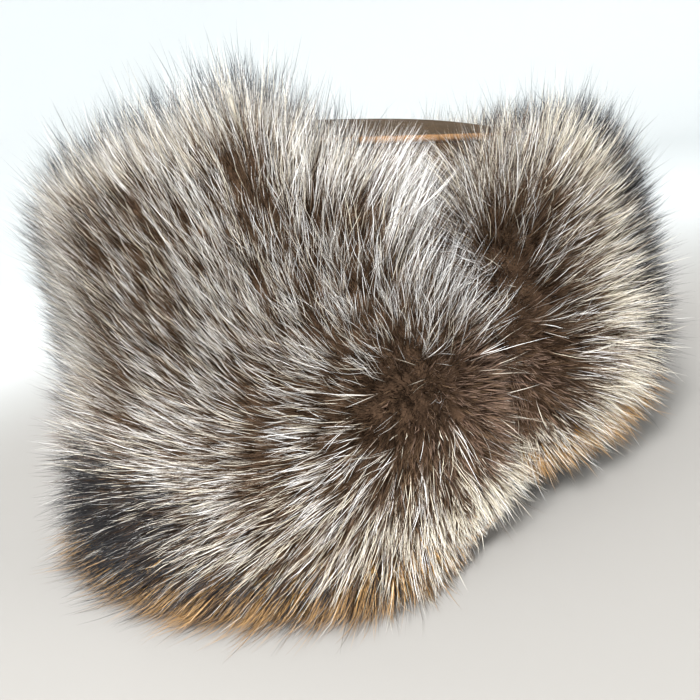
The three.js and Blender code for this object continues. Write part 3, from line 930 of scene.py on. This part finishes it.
# The visor's fur: the same pelt, with creamier guard hair that is black at its tips along the front. Over
# the ears its hair lies back, across the ends of the ear flap's fur.
pelt_wool("visor_wool", visor, 111, "visor_fur")
visor_surface = pelt_surface(visor, 241, 16)
for number, span in enumerate(two_lengths, 1):
    grow(
        f"visor_guard_hair_{number}", visor, visor_surface, span,
        hairs=20000, coat=guard_coat, seed=300 + number,
    )
grow("visor_underfur", visor, visor_surface, whole_length, hairs=22000, coat=under_coat, seed=401)

# The stage: a floor that is darker under the cap and sweeps up all round into a pale wall, with even light
# from all round, a small strong lamp high on the side that shows, and a faint one in front and behind. The
# camera stands low beside the cap, turned so that the cap's front rises.
floor_radius, sweep_radius, wall_height = 1.5, 0.5, 1.5


def stage_floor():
    """One sheet: the level floor, the sweep and the wall, as rings from the middle out."""
    turn = np.linspace(0, 2 * math.pi, 96, endpoint=False)[:, None]
    curve = np.linspace(0, math.pi / 2, 13)
    outer = floor_radius + sweep_radius
    radius = np.concatenate([[0.001, 0.4, 0.8, 1.2], floor_radius + sweep_radius * np.sin(curve), [outer]])
    height = np.concatenate([[0, 0, 0, 0], sweep_radius * (1 - np.cos(curve)), [wall_height]])
    points = np.stack(np.broadcast_arrays(radius * np.cos(turn), radius * np.sin(turn), height), -1)
    mesh = bpy.data.meshes.new("floor")
    mesh.from_pydata(points.reshape(-1, 3).tolist(), [], grid_faces(96, len(radius), True))
    mesh.polygons.foreach_set("use_smooth", np.ones(len(mesh.polygons), bool))
    floor = bpy.data.objects.new("floor", mesh)
    bpy.context.scene.collection.objects.link(floor)
    finish, nodes, links, shader = new_finish("floor", 0.1, 0.9)
    place = new_node(nodes, "NewGeometry")
    away = new_node(nodes, "VectorMath", operation="LENGTH")
    links.new(place.outputs["Position"], away.inputs[0])
    backdrop = new_node(
        nodes, "MapRange", {"From Min": 0.25, "From Max": 0.85}, interpolation_type="SMOOTHSTEP"
    )
    links.new(away.outputs["Value"], backdrop.inputs["Value"])
    floor_tints = {"A": (0.31, 0.30, 0.285, 1), "B": (0.69, 0.72, 0.73, 1)}
    tint = new_node(nodes, "Mix", floor_tints, data_type="RGBA")
    links.new(backdrop.outputs["Result"], tint.inputs["Factor"])
    links.new(tint.outputs["Result"], shader.inputs["Base Color"])
    mesh.materials.append(finish)


stage_floor()


def soft_lamp(name, place, target, size, power):
    """A round lamp that looks at its target. Its size is its width in metres, its power in watts."""
    light = bpy.data.lights.new(name, "AREA")
    light.shape = "DISK"
    light.size = size
    light.energy = power
    lamp = bpy.data.objects.new(name, light)
    bpy.context.scene.collection.objects.link(lamp)
    lamp.location = place
    lamp.rotation_euler = (Vector(target) - Vector(place)).to_track_quat("-Z", "Y").to_euler()


cap_middle = (0, 0, 0.1)
soft_lamp("lamp_side", (-1.1, 0.35, 1.05), cap_middle, 0.4, 44)
soft_lamp("lamp_front", (-0.7, -1.1, 0.7), cap_middle, 0.8, 7)
soft_lamp("lamp_back", (1.0, 0.7, 1.1), cap_middle, 0.8, 10)
sky = bpy.data.worlds.new("studio")
sky.use_nodes = True
sky.node_tree.nodes["Background"].inputs["Color"].default_value = (1, 0.985, 0.96, 1)
sky.node_tree.nodes["Background"].inputs["Strength"].default_value = 0.84
bpy.context.scene.world = sky
bpy.context.scene.view_settings.view_transform = "Standard"

picture_size = 700
focal_pixels = 845
camera_distance = 0.455
camera_azimuth, camera_height, camera_roll = map(math.radians, (-92, 15, 12.5))
aim = Vector((0, -0.002, 0.0654))
lens = bpy.data.cameras.new("camera")
lens.sensor_width = 36
lens.lens = focal_pixels / picture_size * lens.sensor_width
camera = bpy.data.objects.new("camera", lens)
bpy.context.scene.collection.objects.link(camera)
backward = Vector(
    (
        math.sin(camera_azimuth) * math.cos(camera_height),
        -math.cos(camera_azimuth) * math.cos(camera_height),
        math.sin(camera_height),
    )
)
camera.location = aim + camera_distance * backward
side_right = Vector((math.cos(camera_azimuth), math.sin(camera_azimuth), 0))
side_up = backward.cross(side_right)
right = side_right * math.cos(camera_roll) - side_up * math.sin(camera_roll)
up = side_right * math.sin(camera_roll) + side_up * math.cos(camera_roll)
camera.rotation_mode = "QUATERNION"
camera.rotation_quaternion = Matrix((right, up, backward)).transposed().to_quaternion()
bpy.context.scene.camera = camera
